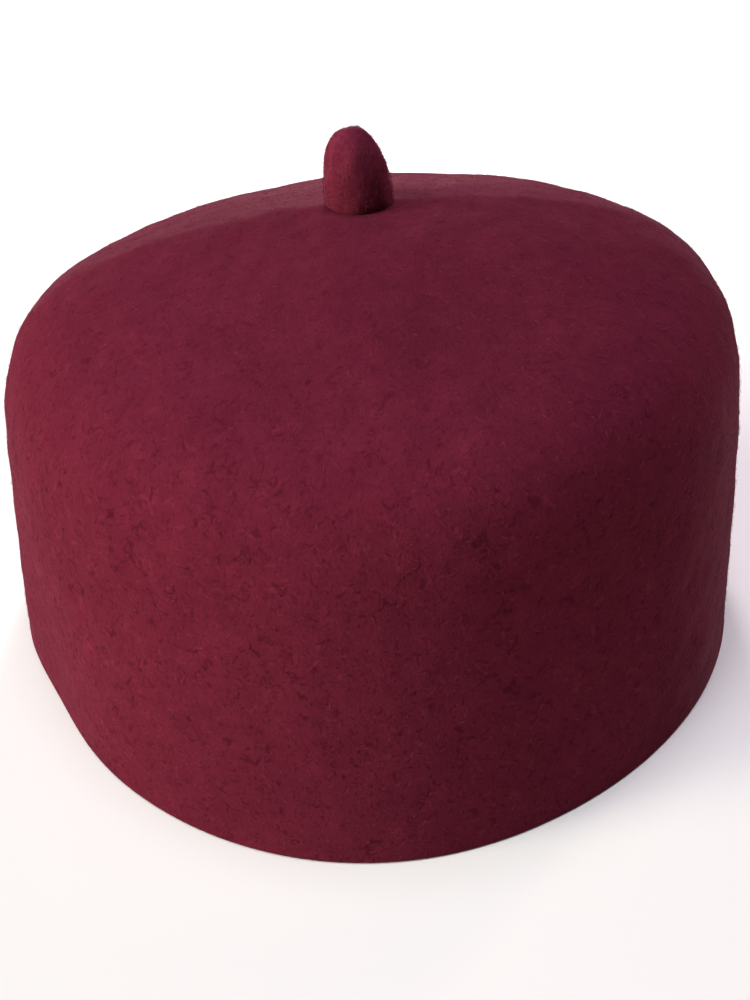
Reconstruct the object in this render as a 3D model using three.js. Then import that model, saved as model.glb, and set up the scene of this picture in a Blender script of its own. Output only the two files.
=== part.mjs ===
// A felt kufi: one hollow crown of blocked wool felt, with a small felt stem sewn to the middle of its top.
// Millimetres, +Z up. The cut rim lies on z = 0, and the crown's box is centred on the Z axis.
import * as THREE from 'three';

// Crown: a wall that draws in as it rises and turns over a soft shoulder into a low top.
const RIM_RADIUS = 95; // mean outside radius at the cut edge, for a head 58 cm round
const CROWN_HEIGHT = 102.9; // rim to the top, where the stem sits
const WALL_SLOPE = 0.162; // how far the wall draws in for each millimetre of height
const TOP_FALL = 3.4; // how far the low cone of the top falls, from its middle to the wall
const SHOULDER_RISE = 11; // power of the height in the turn from wall to top
const SHOULDER_RUN = 2.28; // power of the radius there
const FELT_THICKNESS = 2.5;
const EDGE_BEVEL = 0.4; // softened corners of the cut edge

// Slow waves of the plan round the crown: each swells the rim by `swell`, crests facing `crest` degrees.
const PLAN_WAVES = [
  { lobes: 2, swell: 3.4, crest: -22 },
  { lobes: 3, swell: 0.7, crest: 27 },
  { lobes: 4, swell: 1, crest: -8 },
];
// Shallow dents where the soft rim has been handled: `depth` at the rim, fading out up the wall.
const RIM_DENTS = [
  { facing: -66, spread: 16, depth: 0.4 },
  { facing: -152, spread: 14, depth: 2.3 },
];
// The top isn't level: its shoulder stands higher on the side facing `crest` and lower opposite it.
const SHOULDER_TILT = { lift: 4.5, crest: 51.5, reach: 85 };
// One stretch of the shoulder has kept a crisper turn than the rest: near the ring with this radius and
// height, the felt stands out by `push`, and up by as much.
const CRISP_SHOULDER = { push: 3.8, facing: -65, spread: 28, radius: 79, height: 81, reach: 18 };
// A soft crease runs across the top along X, where the felt has been folded flat. Both its sides slope down,
// by `drop` over the distance `reach`, and turn into each other over the width `soft`.
const TOP_CREASE = { drop: 4.5, reach: 85, soft: 2.5 };
const TOP_DRIFT = { x: 4, y: 0 }; // how far the top's middle has moved off the rim's middle

// Stem: a felt nub with a round end, leaning a little.
const STEM_RADIUS = 7.6; // at the base
const STEM_HEIGHT = 15.4;
const STEM_SLOPE = 0.07; // how far it draws in for each millimetre of height
const STEM_RISE = 3.2; // powers of its round end, as the shoulder has them
const STEM_RUN = 2;
const STEM_SHIFT = 0.45; // along X, from the top's middle
const STEM_LEAN = -1; // along X, from base to end
const STEM_SEAT_GAP = 0.3; // stitched seat between stem and crown

// Facets.
const CROWN_SEGMENTS = 64;
const OUTER_ROWS = 28;
const INNER_ROWS = 20;
const STEM_SEGMENTS = 24;
const STEM_ROWS = 9;
const OUTLINE_STEPS = 240; // fine steps that the evenly spaced rows are taken from

const WOOL_FELT = { color: '#6b2234', roughness: 0.95, metalness: 0 };

const radians = THREE.MathUtils.degToRad;

// Evenly spaced points of a tapered dome, from the height `foot` up to the axis. Where its radius is a
// share s of the sloped wall's, its height is (height - fall * s) * (1 - s ^ run) ^ (1 / rise).
function domeOutline({ radius, height, fall, slope, rise, run }, foot, rows) {
  const outline = [];
  for (let i = 0; i <= OUTLINE_STEPS; i++) {
    const turn = (i / OUTLINE_STEPS) * (Math.PI / 2);
    const share = (1 - Math.sin(turn) ** 2) ** (1 / run);
    const z = Math.max(foot, (height - fall * share) * Math.sin(turn) ** (2 / rise));
    outline.push(new THREE.Vector2((radius - slope * z) * share, z));
  }
  return new THREE.Path(outline).getSpacedPoints(rows);
}

// Turns an outline round the Z axis, then moves each point by `move`.
function turned(outline, segments, move) {
  const geometry = new THREE.LatheGeometry(outline, segments).rotateX(Math.PI / 2);
  const position = geometry.getAttribute('position');
  const point = new THREE.Vector3();
  for (let i = 0; i < position.count; i++) {
    move(point.fromBufferAttribute(position, i));
    position.setXYZ(i, point.x, point.y, point.z);
  }
  geometry.computeVertexNormals();
  return geometry;
}

// How far the plan's waves swell the crown at an angle round it, as a share of its radius.
function planSwell(angle) {
  const wave = ({ lobes, swell, crest }) => swell * Math.cos(lobes * (angle - radians(crest)));
  return PLAN_WAVES.reduce((sum, row) => sum + wave(row), 0) / RIM_RADIUS;
}

// A bell curve round the crown: 1 at the angle `facing`, fading to both sides over `spread` degrees.
function bellRound(angle, { facing, spread }) {
  const off = THREE.MathUtils.euclideanModulo(angle - radians(facing) + Math.PI, 2 * Math.PI) - Math.PI;
  return Math.exp(-((off / radians(spread)) ** 2));
}

// Depth of the rim's dents at an angle round the crown.
function rimDent(angle) {
  return RIM_DENTS.reduce((sum, row) => sum + row.depth * bellRound(angle, row), 0);
}

// How far the crisp stretch of the shoulder stands out, and up, at a point of the true round crown.
function shoulderPush(angle, radius, z) {
  const away = Math.hypot(radius - CRISP_SHOULDER.radius, z - CRISP_SHOULDER.height) / CRISP_SHOULDER.reach;
  return CRISP_SHOULDER.push * bellRound(angle, CRISP_SHOULDER) * Math.exp(-(away ** 2));
}

// Moves a point of the true round crown to where the soft felt has it.
function softenCrown(point) {
  const angle = Math.atan2(point.y, point.x);
  const radius = Math.hypot(point.x, point.y);
  const up = point.z / CROWN_HEIGHT;
  const push = shoulderPush(angle, radius, point.z);
  const newRadius = radius * (1 + planSwell(angle)) - rimDent(angle) * (1 - up) ** 2 + push;
  const edge = THREE.MathUtils.smoothstep(radius, 0, SHOULDER_TILT.reach);
  const tilt = SHOULDER_TILT.lift * Math.cos(angle - radians(SHOULDER_TILT.crest));
  const offCrease = Math.hypot(point.y, TOP_CREASE.soft) - TOP_CREASE.soft;
  const fold = (TOP_CREASE.drop * offCrease) / TOP_CREASE.reach;
  point.x = newRadius * Math.cos(angle) + TOP_DRIFT.x * up;
  point.y = newRadius * Math.sin(angle) + TOP_DRIFT.y * up;
  point.z += (tilt * edge - fold) * up ** 2 + push;
}

// The crown's outline runs down the inside, across the cut edge and up the outside.
function crown() {
  const shape = { fall: TOP_FALL, slope: WALL_SLOPE, rise: SHOULDER_RISE, run: SHOULDER_RUN };
  const outside = { ...shape, radius: RIM_RADIUS, height: CROWN_HEIGHT };
  const insideRadius = RIM_RADIUS - FELT_THICKNESS;
  const inside = { ...shape, radius: insideRadius, height: CROWN_HEIGHT - FELT_THICKNESS };
  const outline = [
    ...domeOutline(inside, EDGE_BEVEL, INNER_ROWS).reverse(),
    new THREE.Vector2(insideRadius + EDGE_BEVEL, 0),
    new THREE.Vector2(RIM_RADIUS - EDGE_BEVEL, 0),
    ...domeOutline(outside, EDGE_BEVEL, OUTER_ROWS),
  ];
  return turned(outline, CROWN_SEGMENTS, softenCrown);
}

// The stem has a flat base, which is seated on the middle of the crown's top.
function stem() {
  const shape = {
    radius: STEM_RADIUS,
    height: STEM_HEIGHT,
    fall: 0,
    slope: STEM_SLOPE,
    rise: STEM_RISE,
    run: STEM_RUN,
  };
  const outline = [new THREE.Vector2(0, 0), ...domeOutline(shape, 0, STEM_ROWS)];
  return turned(outline, STEM_SEGMENTS, (point) => {
    point.x += STEM_LEAN * (point.z / STEM_HEIGHT);
  });
}

const kufi = new THREE.Group();

const crownMesh = new THREE.Mesh(crown(), new THREE.MeshStandardMaterial(WOOL_FELT));
crownMesh.name = 'crown';
kufi.add(crownMesh);

const stemMesh = new THREE.Mesh(stem(), new THREE.MeshStandardMaterial(WOOL_FELT));
stemMesh.name = 'stem';
stemMesh.position.set(TOP_DRIFT.x + STEM_SHIFT, TOP_DRIFT.y, CROWN_HEIGHT + STEM_SEAT_GAP);
kufi.add(stemMesh);

// The waves leave the rim's box off centre, so both pieces move back together.
const middle = new THREE.Box3().setFromObject(crownMesh).getCenter(new THREE.Vector3());
for (const piece of kufi.children) {
  piece.position.x -= middle.x;
  piece.position.y -= middle.y;
}

export default kufi;
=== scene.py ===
# A felt kufi standing on its rim: a hollow crown of blocked wool felt, with a small felt stem on its top.
# The frame is in metres, +Z up. Sizes here are in millimetres, and MM takes them to metres.
import math

import bpy
import numpy as np
from mathutils import Matrix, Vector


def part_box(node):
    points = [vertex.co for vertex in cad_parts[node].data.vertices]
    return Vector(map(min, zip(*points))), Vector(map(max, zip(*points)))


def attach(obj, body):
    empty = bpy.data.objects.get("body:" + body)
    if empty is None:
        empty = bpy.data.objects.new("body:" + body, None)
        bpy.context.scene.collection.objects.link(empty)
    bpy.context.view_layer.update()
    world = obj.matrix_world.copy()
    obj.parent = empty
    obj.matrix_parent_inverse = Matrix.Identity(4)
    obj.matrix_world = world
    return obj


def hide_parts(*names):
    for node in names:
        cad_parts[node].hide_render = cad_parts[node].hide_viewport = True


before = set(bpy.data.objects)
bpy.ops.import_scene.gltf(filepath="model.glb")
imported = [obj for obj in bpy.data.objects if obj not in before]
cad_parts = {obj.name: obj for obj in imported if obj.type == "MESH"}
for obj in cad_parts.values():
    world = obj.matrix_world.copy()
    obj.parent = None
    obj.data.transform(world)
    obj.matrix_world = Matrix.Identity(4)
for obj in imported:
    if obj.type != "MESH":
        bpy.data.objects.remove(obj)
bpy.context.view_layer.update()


# Camera: held close in front of the cap and above it, looking down over the near shoulder.
# It is tipped by a few degrees, so the rim runs slightly downhill across the picture.
MM = 0.001
CAMERA_PLACE = (0.0, -180.36, 153.52)
CAMERA_DOWN = 36.03  # degrees below the level
CAMERA_YAW = 1.1  # degrees, towards +X
CAMERA_ROLL = -3.816  # degrees
SENSOR_SIZE = 36.0  # along the picture's long side
FOCAL_LENGTH = 28.8
NEAREST_SEEN = 10.0

lens = bpy.data.cameras.new("camera")
lens.sensor_width = SENSOR_SIZE
lens.lens = FOCAL_LENGTH
lens.clip_start = NEAREST_SEEN * MM
camera = bpy.data.objects.new("camera", lens)
bpy.context.scene.collection.objects.link(camera)
camera.matrix_world = (
    Matrix.Translation([MM * along for along in CAMERA_PLACE])
    @ Matrix.Rotation(-math.radians(CAMERA_YAW), 4, "Z")
    @ Matrix.Rotation(math.radians(90 - CAMERA_DOWN), 4, "X")
    @ Matrix.Rotation(math.radians(CAMERA_ROLL), 4, "Z")
)
bpy.context.scene.camera = camera


# Crown: one piece of wool felt, steamed and pulled over a block, so that wall, shoulder and top are
# a single skin 2.5 mm thick with no seam. Its rim is a plain cut edge, which the cap stands on.
RIM_RADIUS = 95.0
CROWN_HEIGHT = 102.9
WALL_SLOPE = 0.162  # how far the wall draws in for each millimetre of height
TOP_FALL = 3.4  # how far the low cone of the top falls, from its middle to the wall
SHOULDER_RISE = 11.0  # power of the height in the turn from wall to top
SHOULDER_RUN = 2.28  # power of the radius there
FELT_THICKNESS = 2.5
EDGE_ROUND = 0.6  # radius of the cut edge's soft corners
PLAN_WAVES = [  # slow waves of the plan round the crown, crests facing so many degrees from +X
    {"lobes": 2, "swell": 3.4, "crest": -22},
    {"lobes": 3, "swell": 0.7, "crest": 27},
    {"lobes": 4, "swell": 1.0, "crest": -8},
]
RIM_DENTS = [  # shallow dents of the handled rim, fading out up the wall
    {"facing": -66, "spread": 16, "depth": 0.4},
    {"facing": -152, "spread": 14, "depth": 2.3},
]
SHOULDER_TILT = {"lift": 4.5, "crest": 51.5, "reach": 85}  # the top stands higher on one side
TOP_CREASE = {"drop": 4.5, "reach": 85, "soft": 2.5}  # where the top has been folded flat, along X
# The fold's line still stands up a little. The power `fade` of the height keeps it to the top.
CREASE_RIDGE = {"height": 0.9, "reach": 12, "soft": 0.8, "fade": 8}
# One stretch of the shoulder has kept a crisper turn: near this ring the felt stands out, and up as much.
CRISP_SHOULDER = {"push": 3.8, "facing": -65, "spread": 28, "radius": 79, "height": 81, "reach": 18}
TOP_DRIFT = (4.0, 0.0)  # how far the top's middle has moved off the rim's
FELT_SWELLS = [  # how far hand and steam have left the felt uneven, by wavelength
    {"wavelength": 34, "height": 0.16, "seed": 11},
    {"wavelength": 14, "height": 0.07, "seed": 12},
    {"wavelength": 6, "height": 0.035, "seed": 13},
]
WAVES_IN_SWELL = 28
FLAT_FOOT = 8.0  # the swells fade in over this height, so the cut edge stays flat on the floor
CROWN_SEGMENTS = 320
OUTER_ROWS = 150
INNER_ROWS = 44
EDGE_ROWS = 5  # in each soft corner of the cut edge
OUTLINE_STEPS = 4000  # fine steps that the evenly spaced rows are taken from


def dome_outline(radius, height, fall, slope, rise, run, foot, rows):
    """Evenly spaced (r, z) points of a tapered dome, from the height foot up to the axis. Where its
    radius is a share s of the sloped wall's, its height is
    (height - fall * s) * (1 - s ** run) ** (1 / rise)."""
    turn = np.linspace(0, math.pi / 2, OUTLINE_STEPS + 1)
    share = (1 - np.sin(turn) ** 2) ** (1 / run)
    z = np.maximum(foot, (height - fall * share) * np.sin(turn) ** (2 / rise))
    r = (radius - slope * z) * share
    along = np.concatenate([[0], np.cumsum(np.hypot(np.diff(r), np.diff(z)))])
    even = np.linspace(0, along[-1], rows + 1)
    return np.stack([np.interp(even, along, r), np.interp(even, along, z)], axis=1)


def corner(middle, radius, start, end, rows):
    """Points (r, z) of an arc round middle, from one angle to another, in degrees."""
    angle = np.radians(np.linspace(start, end, rows))
    return np.stack([middle[0] + radius * np.cos(angle), middle[1] + radius * np.sin(angle)], axis=1)


def turned(outline, segments):
    """Rings of points, shaped (rows, segments, 3): an outline of (r, z) carried round the Z axis."""
    angle = np.linspace(0, 2 * math.pi, segments, endpoint=False)
    r, z = outline[:, :1], outline[:, 1:]
    return np.stack([r * np.cos(angle), r * np.sin(angle), z + 0 * angle], axis=-1)


def bell_round(angle, row):
    """A bell curve round the crown: 1 at the angle that the row faces, fading over its spread."""
    off = (angle - math.radians(row["facing"]) + math.pi) % (2 * math.pi) - math.pi
    return np.exp(-((off / math.radians(row["spread"])) ** 2))


def softened(points):
    """Takes points of the true round crown to where the soft felt has them. The radius swells by the
    plan's waves and sinks by the rim's dents, the crisp stretch of shoulder stands out and up, the
    middle drifts with height, the shoulder is lifted on one side, and the top falls to both sides of
    its crease, from a low ridge."""
    x, y, z = np.moveaxis(points, -1, 0)
    angle, radius, up = np.arctan2(y, x), np.hypot(x, y), z / CROWN_HEIGHT
    swell = sum(w["swell"] * np.cos(w["lobes"] * (angle - math.radians(w["crest"]))) for w in PLAN_WAVES)
    dent = sum(row["depth"] * bell_round(angle, row) for row in RIM_DENTS)
    off_ring = np.hypot(radius - CRISP_SHOULDER["radius"], z - CRISP_SHOULDER["height"])
    nearness = np.exp(-((off_ring / CRISP_SHOULDER["reach"]) ** 2))
    push = CRISP_SHOULDER["push"] * bell_round(angle, CRISP_SHOULDER) * nearness
    new_radius = radius * (1 + swell / RIM_RADIUS) - dent * (1 - up) ** 2 + push
    edge = np.clip(radius / SHOULDER_TILT["reach"], 0, 1)
    edge = edge * edge * (3 - 2 * edge)
    tilt = SHOULDER_TILT["lift"] * np.cos(angle - math.radians(SHOULDER_TILT["crest"]))
    off_crease = np.hypot(y, TOP_CREASE["soft"]) - TOP_CREASE["soft"]
    fold = TOP_CREASE["drop"] * off_crease / TOP_CREASE["reach"]
    off_ridge = np.hypot(y, CREASE_RIDGE["soft"])
    ridge = CREASE_RIDGE["height"] * np.exp(-off_ridge / CREASE_RIDGE["reach"]) * up ** CREASE_RIDGE["fade"]
    return np.stack(
        [
            new_radius * np.cos(angle) + TOP_DRIFT[0] * up,
            new_radius * np.sin(angle) + TOP_DRIFT[1] * up,
            z + (tilt * edge - fold) * up**2 + push + ridge,
        ],
        axis=-1,
    )


def unit(ways):
    """Ways, each scaled to length one."""
    return ways / np.maximum(np.linalg.norm(ways, axis=-1, keepdims=True), 1e-12)


def facing(rings):
    """Unit normals of rings of points: the cross product of the ways round and along, each a
    difference of neighbours."""
    round_way = np.roll(rings, -1, axis=1) - np.roll(rings, 1, axis=1)
    along_way = np.gradient(rings, axis=0)
    return unit(np.cross(round_way, along_way))


def swells(points, rows):
    """Heights of an uneven felt at these points. Each row adds random smooth swells of one
    wavelength: many cosine waves, each running its own way through space."""
    total = np.zeros(points.shape[:-1])
    for row in rows:
        rng = np.random.default_rng(row["seed"])
        way = rng.normal(size=(3, WAVES_IN_SWELL))
        way *= 2 * math.pi / row["wavelength"] / np.linalg.norm(way, axis=0)
        phase = rng.uniform(0, 2 * math.pi, WAVES_IN_SWELL)
        waves = np.cos(points @ way + phase).sum(axis=-1) / math.sqrt(WAVES_IN_SWELL / 2)
        total += row["height"] * waves
    return total


def closed_mesh(name, rings):
    """A closed mesh through rings of points, in millimetres. The first and last ring are single
    points, so each is one vertex with a fan of triangles, and quads join the rings between them."""
    rows, segments = rings.shape[0] - 2, rings.shape[1]
    points = np.concatenate([rings[0, :1], rings[1:-1].reshape(-1, 3), rings[-1, :1]])
    ring = np.arange(rows * segments).reshape(rows, segments) + 1
    after = np.roll(ring, -1, axis=1)
    quads = np.stack([ring[:-1], after[:-1], after[1:], ring[1:]], axis=-1).reshape(-1, 4)
    first = np.stack([after[0], ring[0], np.zeros_like(ring[0])], axis=-1)
    last = np.stack([ring[-1], after[-1], np.full_like(ring[-1], len(points) - 1)], axis=-1)
    mesh = bpy.data.meshes.new(name)
    mesh.from_pydata((points * MM).tolist(), [], quads.tolist() + first.tolist() + last.tolist())
    mesh.polygons.foreach_set("use_smooth", np.ones(len(mesh.polygons), dtype=bool))
    return mesh


def placed(mesh):
    """An object that shows a mesh, at the frame's origin."""
    piece = bpy.data.objects.new(mesh.name, mesh)
    bpy.context.scene.collection.objects.link(piece)
    return piece


inside_radius = RIM_RADIUS - FELT_THICKNESS
inside_height = CROWN_HEIGHT - FELT_THICKNESS
shoulder = (TOP_FALL, WALL_SLOPE, SHOULDER_RISE, SHOULDER_RUN)
outer_wall = dome_outline(RIM_RADIUS, CROWN_HEIGHT, *shoulder, EDGE_ROUND, OUTER_ROWS)
inner_wall = dome_outline(inside_radius, inside_height, *shoulder, EDGE_ROUND, INNER_ROWS)
inner_corner = corner((inside_radius + EDGE_ROUND, EDGE_ROUND), EDGE_ROUND, 180, 270, EDGE_ROWS)
outer_corner = corner((RIM_RADIUS - EDGE_ROUND, EDGE_ROUND), EDGE_ROUND, 270, 360, EDGE_ROWS)
crown_outline = np.concatenate([inner_wall[:0:-1], inner_corner, outer_corner, outer_wall[1:]])
crown_rings = softened(turned(crown_outline, CROWN_SEGMENTS))

# The waves leave the rim's box off centre. The frame's crown has its box on the Z axis, and so has this.
crown_low, crown_high = (np.array(end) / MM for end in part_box("crown"))
own_middle = (crown_rings.min(axis=(0, 1)) + crown_rings.max(axis=(0, 1))) / 2
to_frame = ((crown_low + crown_high) / 2 - own_middle) * (1, 1, 0)
crown_rings += to_frame

crown_facing = facing(crown_rings)
off_floor = np.clip(crown_rings[..., 2:] / FLAT_FOOT, 0, 1)
crown_rings += crown_facing * swells(crown_rings, FELT_SWELLS)[..., None] * off_floor
crown_rings[0] = crown_rings[0].mean(axis=0)
crown_rings[-1] = crown_rings[-1].mean(axis=0)
crown = placed(closed_mesh("crown_felt", crown_rings))


def linear(hex_colour):
    """An sRGB hex colour as linear red, green, blue and a full alpha."""
    share = np.array([int(hex_colour[i : i + 2], 16) / 255 for i in (1, 3, 5)])
    return (*np.where(share <= 0.04045, share / 12.92, ((share + 0.055) / 1.055) ** 2.4), 1.0)


def add(tree, kind, inputs=(), **settings):
    """Adds a node with its settings. Each input, by name or number, gets a value or a socket's link."""
    node = tree.nodes.new(kind)
    for name, value in settings.items():
        setattr(node, name, value)
    for name, value in dict(inputs).items():
        if isinstance(value, bpy.types.NodeSocket):
            tree.links.new(value, node.inputs[name])
        else:
            node.inputs[name].default_value = value
    return node


def added_share(tree, value, weight, total):
    """A running total with a share of a value added: value * weight + total."""
    inputs = {0: value, 1: weight, 2: total}
    return add(tree, "ShaderNodeMath", inputs, operation="MULTIPLY_ADD").outputs[0]


def colour_ramp(tree, value, rows):
    """A ramp of three colours, which takes a value to the colour of the rows that it lies between."""
    ramp = add(tree, "ShaderNodeValToRGB", {0: value})
    ramp.color_ramp.elements.new(rows[1]["at"])
    for stop, row in zip(ramp.color_ramp.elements, rows):
        stop.position = row["at"]
        stop.color = linear(row["colour"])
    return ramp


# Blocked wool felt, dyed maroon. Countless curled fibres lie matted in its face. Their shade and glints are
# painted into its colour as fine darker and lighter flecks over slow clouds of dye, and it has a soft bloom
# at grazing angles.
FELT_COLOURS = [  # by tone, from the shaded hollows between fibres to the fibres that catch the light
    {"at": 0.0, "colour": "#521826"},
    {"at": 0.5, "colour": "#692334"},
    {"at": 1.0, "colour": "#803042"},
]
FLECKS_OF_PAINTED_SHADE_AND_GLINT = [  # painted shade in the dark gaps between fibres and painted glints on curls of fibre, where a noise rises above a level
    {"size": 2.3, "above": 0.56, "weight": -0.36, "offset": 37.0},
    {"size": 1.3, "above": 0.54, "weight": -0.23, "offset": 71.0},
    {"size": 2.4, "above": 0.58, "weight": 0.22, "offset": 3.0},
]
FLECK_EDGE = 0.2  # how far above its level a fleck is whole
FLECK_CURL = 1.2
WALL_TOP = (70.0, 100.0)  # the flecks fade between these heights, since the top is smoother than the wall
TOP_FLECKS = 0.45  # how strong they are above that
FELT_CLOUDS = [  # unevenness of dye and nap
    {"size": 0.6, "weight": 0.22, "offset": 5.0},
    {"size": 2.6, "weight": 0.26, "offset": 17.0},
    {"size": 7.0, "weight": 0.30, "offset": 13.0},
    {"size": 32.0, "weight": 0.30, "offset": 29.0},
]
FINE_CLOUD = 2.0  # clouds smaller than this also stand up from the face
FIBRE_RELIEF = 0.12

felt = bpy.data.materials.new("maroon_wool_felt")
felt.use_nodes = True
tree = felt.node_tree
shader = tree.nodes["Principled BSDF"]
place = add(tree, "ShaderNodeTexCoord").outputs["Object"]
tone = 0.5
relief = 0.0
height = add(tree, "ShaderNodeSeparateXYZ", {0: place}).outputs["Z"]
wall_fade = {
    "Value": height,
    "From Min": WALL_TOP[0] * MM,
    "From Max": WALL_TOP[1] * MM,
    "To Min": 1.0,
    "To Max": TOP_FLECKS,
}
rough = add(tree, "ShaderNodeMapRange", wall_fade).outputs[0]
# A fleck of negative weight paints shade into the gaps between fibres, one of positive weight paints a glint
# on fibres; both stand up in the relief too.
for fleck in FLECKS_OF_PAINTED_SHADE_AND_GLINT:
    moved = add(tree, "ShaderNodeVectorMath", {0: place, 1: [fleck["offset"]] * 3}).outputs[0]
    noise = add(
        tree,
        "ShaderNodeTexNoise",
        {"Vector": moved, "Scale": 1 / (fleck["size"] * MM), "Detail": 1.0, "Distortion": FLECK_CURL},
    )
    curl = add(
        tree,
        "ShaderNodeMapRange",
        {"Value": noise.outputs["Fac"], "From Min": fleck["above"], "From Max": fleck["above"] + FLECK_EDGE},
        interpolation_type="SMOOTHSTEP",
    ).outputs[0]
    shown = add(tree, "ShaderNodeMath", {0: curl, 1: rough}, operation="MULTIPLY").outputs[0]
    tone = added_share(tree, shown, fleck["weight"], tone)
    relief = added_share(tree, shown, fleck["weight"], relief)
for cloud in FELT_CLOUDS:
    moved = add(tree, "ShaderNodeVectorMath", {0: place, 1: [cloud["offset"]] * 3}).outputs[0]
    noise = add(
        tree,
        "ShaderNodeTexNoise",
        {"Vector": moved, "Scale": 1 / (cloud["size"] * MM), "Detail": 3.0, "Roughness": 0.6},
    )
    off = add(tree, "ShaderNodeMath", {0: noise.outputs["Fac"], 1: 0.5}, operation="SUBTRACT").outputs[0]
    tone = added_share(tree, off, cloud["weight"], tone)
    if cloud["size"] < FINE_CLOUD:
        relief = added_share(tree, off, 1.0, relief)
felt_ramp = colour_ramp(tree, tone, FELT_COLOURS)
bump = add(tree, "ShaderNodeBump", {"Height": relief, "Strength": 1.0, "Distance": FIBRE_RELIEF * MM})
tree.links.new(felt_ramp.outputs["Color"], shader.inputs["Base Color"])
tree.links.new(bump.outputs["Normal"], shader.inputs["Normal"])
shader.inputs["Roughness"].default_value = 0.95
shader.inputs["Specular IOR Level"].default_value = 0.0
shader.inputs["Sheen Weight"].default_value = 0.055
shader.inputs["Sheen Roughness"].default_value = 0.3
shader.inputs["Sheen Tint"].default_value = linear("#ffffff")

crown.data.materials.append(felt)
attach(crown, "root")
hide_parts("crown")


# Crown's nap: the ends of fibres that have worked loose from the felt's face and curl just above it.
# They are part of the felt, drawn about twice as thick as wool so that they show.
FIBRE_FACES = np.array([(0, 2, 1), (0, 3, 2), (0, 1, 3), (1, 2, 4), (2, 3, 4), (3, 1, 4)])
# Where a fibre's root, three middle points and tip lie in its own small square of the UV map.
FIBRE_CHART = np.array([(0.2, 0.5), (0.5, 0.2), (0.5, 0.5), (0.5, 0.8), (0.8, 0.5)])
FIBRE_ROOT = 0.1  # how deep a fibre starts in the felt
FIBRE_DROOP = 0.3  # share of its rise that the far half keeps
CROWN_NAP = {"count": 32000, "length": (0.7, 2.2), "thickness": 0.05, "rise": (4, 26), "curl": 65, "seed": 31}


def nap(name, rings, normals, length, thickness, rise, curl, count, seed):
    """A mesh of loose fibres, spread evenly over rings of points by the cells' areas. A fibre is a
    spindle with a bent middle: it leaves the felt at the angle rise, in a random way along it, and its
    far half turns aside by up to curl and lies lower. Its middle has three points round it, so a fibre
    is six triangles. No point of it goes into the floor."""
    rng = np.random.default_rng(seed)
    near, far = np.arange(rings.shape[1]), np.roll(np.arange(rings.shape[1]), -1)
    cells = np.stack([rings[:-1, near], rings[:-1, far], rings[1:, near], rings[1:, far]]).reshape(4, -1, 3)
    cell_normals = unit(normals[:-1, near] + normals[1:, far]).reshape(-1, 3)
    area = np.linalg.norm(np.cross(cells[3] - cells[0], cells[2] - cells[1]), axis=-1)
    chosen = rng.choice(len(area), count, p=area / area.sum())
    u, v = rng.uniform(size=(2, count, 1))
    shares = np.stack([(1 - u) * (1 - v), u * (1 - v), (1 - u) * v, u * v])
    normal = cell_normals[chosen]
    root = (cells[:, chosen] * shares).sum(axis=0) - FIBRE_ROOT * normal
    way = unit(np.cross(normal, rng.normal(size=(count, 3))))
    aside = np.cross(normal, way)
    half = rng.uniform(*length, size=(count, 1)) / 2
    lift = np.radians(rng.uniform(*rise, size=(count, 1)))
    bend = np.radians(rng.uniform(-curl, curl, size=(count, 1)))
    middle = root + half * (np.cos(lift) * way + np.sin(lift) * normal)
    tip = middle + half * (np.cos(bend) * way + np.sin(bend) * aside + FIBRE_DROOP * np.sin(lift) * normal)
    along = unit(tip - root)
    across = unit(np.cross(along, normal))
    upright = np.cross(along, across)
    ring = [
        middle + thickness / 2 * (math.cos(turn) * across + math.sin(turn) * upright)
        for turn in (0, 2 * math.pi / 3, 4 * math.pi / 3)
    ]
    points = np.stack([root, *ring, tip], axis=1)
    points[..., 2] = np.maximum(points[..., 2], thickness)
    faces = FIBRE_FACES + len(FIBRE_CHART) * np.arange(count)[:, None, None]
    mesh = bpy.data.meshes.new(name)
    mesh.from_pydata((points.reshape(-1, 3) * MM).tolist(), [], faces.reshape(-1, 3).tolist())
    shade = mesh.attributes.new("shade", "FLOAT", "POINT")
    shade.data.foreach_set("value", np.repeat(rng.uniform(size=count), len(FIBRE_CHART)))
    side = math.ceil(math.sqrt(count))
    square = np.stack([np.arange(count) % side, np.arange(count) // side], axis=-1)
    spots = (square[:, None] + FIBRE_CHART) / side
    chart = mesh.uv_layers.new(name="OFBake")
    chart.data.foreach_set("uv", spots[:, FIBRE_FACES].ravel())
    return mesh


# Loose wool fibres, dyed with the felt, their tone differing at random. They are painted a little lighter
# than the felt, to make up for the shade that they cast on it, and the palest few are painted glints, for
# fibres that catch the light.
FIBRE_COLOURS = [  # by a random shade that each fibre has
    {"at": 0.0, "colour": "#642232"},
    {"at": 0.7, "colour": "#843346"},
    {"at": 1.0, "colour": "#9a5462"},
]
fibre = bpy.data.materials.new("loose_wool_fibre")
fibre.use_nodes = True
fibre_tree = fibre.node_tree
fibre_shader = fibre_tree.nodes["Principled BSDF"]
own_shade = add(fibre_tree, "ShaderNodeAttribute", attribute_name="shade").outputs["Fac"]
fibre_ramp = colour_ramp(fibre_tree, own_shade, FIBRE_COLOURS)
fibre_tree.links.new(fibre_ramp.outputs["Color"], fibre_shader.inputs["Base Color"])
fibre_shader.inputs["Roughness"].default_value = 0.9
fibre_shader.inputs["Specular IOR Level"].default_value = 0.0

crown_outside = slice(-OUTER_ROWS, None)
crown_nap = placed(nap("crown_nap", crown_rings[crown_outside], crown_facing[crown_outside], **CROWN_NAP))
crown_nap.data.materials.append(fibre)
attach(crown_nap, "root")


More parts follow.
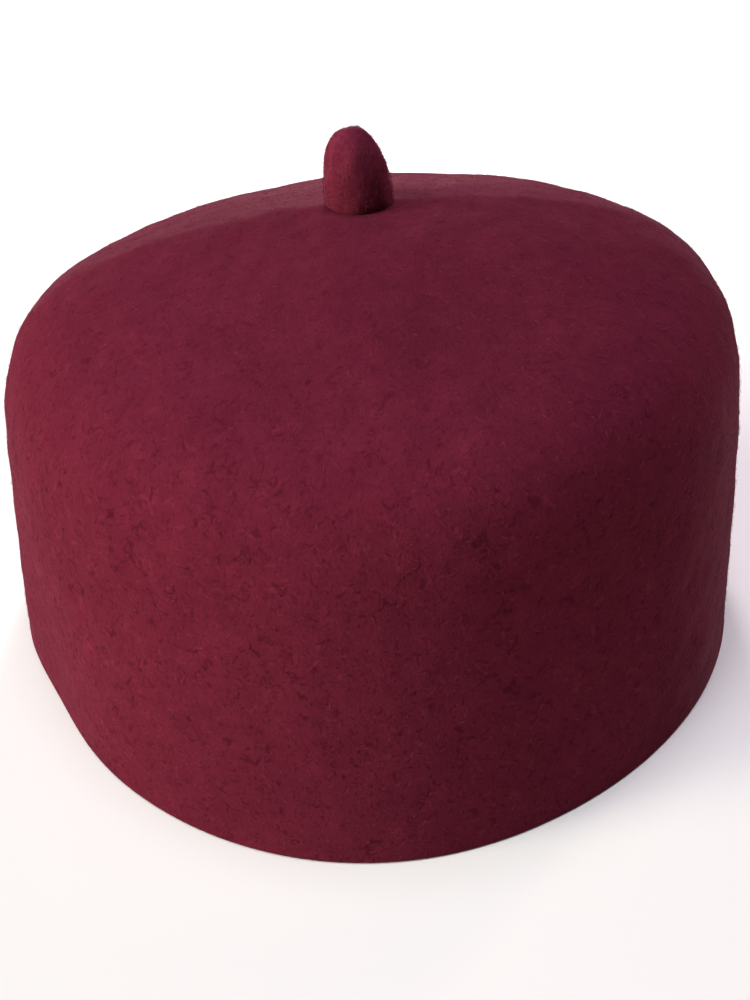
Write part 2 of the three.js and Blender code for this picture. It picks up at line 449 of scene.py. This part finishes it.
# Stem: a small nub of the same felt, rolled solid and sewn down through the middle of the crown's top.
# The stitches draw its foot in and pull it down into the crown's felt.
STEM_RADIUS = 7.6
STEM_HEIGHT = 15.4
STEM_SLOPE = 0.07  # how far it draws in for each millimetre of height
STEM_RISE = 3.2  # powers of its round end, as the shoulder has them
STEM_RUN = 2.0
STEM_SHIFT = 0.45  # along X, from the middle of the crown's top
STEM_LEAN = -1.0  # along X, from base to end
STEM_SEAT_GAP = 0.3
STEM_SINK = 2.0  # how far the foot goes into the crown's felt
FOOT_DRAW = 0.9  # how far the stitches draw the foot in
FOOT_TOP = -1.0  # from this height up, the draw fades, over FOOT_FADE
FOOT_FADE = 1.0
FOOT_ROWS = 8
STEM_SWELLS = [
    {"wavelength": 9, "height": 0.10, "seed": 21},
    {"wavelength": 4, "height": 0.05, "seed": 22},
]
STEM_SEGMENTS = 96
STEM_ROWS = 70

stem_outline = dome_outline(STEM_RADIUS, STEM_HEIGHT, 0, STEM_SLOPE, STEM_RISE, STEM_RUN, 0, STEM_ROWS)
stem_foot = np.stack([np.linspace(0, STEM_RADIUS, FOOT_ROWS), np.full(FOOT_ROWS, -STEM_SINK)], axis=1)
stem_outline = np.concatenate([stem_foot, stem_outline])
drawn = FOOT_DRAW * np.exp(-np.maximum(stem_outline[:, 1] - FOOT_TOP, 0) / FOOT_FADE)
stem_outline[:, 0] -= drawn * stem_outline[:, 0] / STEM_RADIUS
stem_rings = turned(stem_outline, STEM_SEGMENTS)
stem_rings[..., 0] += STEM_LEAN * np.maximum(stem_rings[..., 2], 0) / STEM_HEIGHT
stem_rings += to_frame + (TOP_DRIFT[0] + STEM_SHIFT, TOP_DRIFT[1], CROWN_HEIGHT + STEM_SEAT_GAP)
stem_facing = facing(stem_rings)
stem_rings += stem_facing * swells(stem_rings, STEM_SWELLS)[..., None]
stem_rings[0] = stem_rings[0].mean(axis=0)
stem_rings[-1] = stem_rings[-1].mean(axis=0)
stem = placed(closed_mesh("stem_felt", stem_rings))

# The stem's felt is the crown's with a stronger bloom, and its colours are painted a little paler: a painted
# sheen for the whitish fuzz that the stem shows.
STEM_COLOURS_WITH_PAINTED_SHEEN = ["#5e2030", "#762c3f", "#8e3e4d"]
sheen_painted_felt = felt.copy()
sheen_painted_felt.name = "wool_felt_with_painted_sheen"
sheen_painted_felt.node_tree.nodes["Principled BSDF"].inputs["Sheen Weight"].default_value = 0.12
for stop, colour in zip(sheen_painted_felt.node_tree.nodes[felt_ramp.name].color_ramp.elements, STEM_COLOURS_WITH_PAINTED_SHEEN):
    stop.color = linear(colour)

stem.data.materials.append(sheen_painted_felt)
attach(stem, "root")
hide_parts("stem")


# Stem's nap: loose fibre ends like the crown's. They stand up more, because rolling and sewing have
# roughed up the felt.
STEM_NAP = {"count": 3000, "length": (0.7, 2.2), "thickness": 0.05, "rise": (6, 34), "curl": 75, "seed": 32}

stem_outside = slice(-STEM_ROWS, None)
stem_nap = placed(nap("stem_nap", stem_rings[stem_outside], stem_facing[stem_outside], **STEM_NAP))
stem_nap.data.materials.append(fibre)
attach(stem_nap, "root")


# Floor: a plain pale floor with matt paint, flat under the rim. It isn't part of the cap, and past its
# edge the camera sees the pale backdrop.
FLOOR_RADIUS = 1500.0
FLOOR_SEGMENTS = 128

floor_outline = np.array([[FLOOR_RADIUS, 0.0]])
floor_edge = MM * turned(floor_outline, FLOOR_SEGMENTS)[0]
floor_mesh = bpy.data.meshes.new("floor")
floor_mesh.from_pydata(floor_edge.tolist(), [], [list(range(FLOOR_SEGMENTS))])
floor = placed(floor_mesh)
pale_paint = bpy.data.materials.new("pale_matt_paint")
pale_paint.use_nodes = True
paint_shader = pale_paint.node_tree.nodes["Principled BSDF"]
paint_shader.inputs["Base Color"].default_value = linear("#f3ede1")
paint_shader.inputs["Roughness"].default_value = 0.7
floor_mesh.materials.append(pale_paint)


# Light: five soft lamps, warm and low at the left, cool and high above that, cool overhead, and low
# behind the cap and at its far right, with a very faint fill from all round. The picture is printed
# a little harder than life, as a phone prints it.
SOFT_LAMPS = [  # bearing and elevation in degrees, seen from the cap, power in watts and width
    {"name": "left_lamp", "bearing": 190, "elevation": 10, "power": 103, "width": 1000, "colour": "#fffee4"},
    {"name": "high_lamp", "bearing": 202, "elevation": 45, "power": 52, "width": 1800, "colour": "#eef8ff"},
    {"name": "top_lamp", "bearing": 0, "elevation": 88, "power": 78, "width": 1800, "colour": "#e7e9ff"},
    {"name": "back_lamp", "bearing": 86, "elevation": 10, "power": 145, "width": 1000, "colour": "#fbf3ff"},
    {"name": "right_lamp", "bearing": 38, "elevation": 5, "power": 50, "width": 400, "colour": "#ffd2e0"},
]
LAMP_AWAY = 3200.0
FILL_COLOUR = "#e9edf5"
FILL_STRENGTH = 0.004
BACKDROP_STRENGTH = 1.4  # only the camera sees it, so it gives no light
PRINT_GAMMA = 0.9

for row in SOFT_LAMPS:
    light = bpy.data.lights.new(row["name"], "AREA")
    light.shape = "DISK"
    light.size = row["width"] * MM
    light.energy = row["power"]
    light.color = linear(row["colour"])[:3]
    lamp = bpy.data.objects.new(row["name"], light)
    bpy.context.scene.collection.objects.link(lamp)
    bearing, elevation = math.radians(row["bearing"]), math.radians(row["elevation"])
    lamp.location = (
        LAMP_AWAY * MM * math.cos(elevation) * math.cos(bearing),
        LAMP_AWAY * MM * math.cos(elevation) * math.sin(bearing),
        LAMP_AWAY * MM * math.sin(elevation),
    )
    lamp.rotation_euler = (-lamp.location).to_track_quat("-Z", "Y").to_euler()

world = bpy.data.worlds.new("soft_fill")
world.use_nodes = True
world_tree = world.node_tree
background = world_tree.nodes["Background"]
background.inputs["Color"].default_value = linear(FILL_COLOUR)
seen = add(world_tree, "ShaderNodeLightPath").outputs["Is Camera Ray"]
strengths = {"Value": seen, "To Min": FILL_STRENGTH, "To Max": BACKDROP_STRENGTH}
glow = add(world_tree, "ShaderNodeMapRange", strengths)
world_tree.links.new(glow.outputs[0], background.inputs["Strength"])
bpy.context.scene.world = world
bpy.context.scene.view_settings.view_transform = "Standard"
bpy.context.scene.view_settings.gamma = PRINT_GAMMA
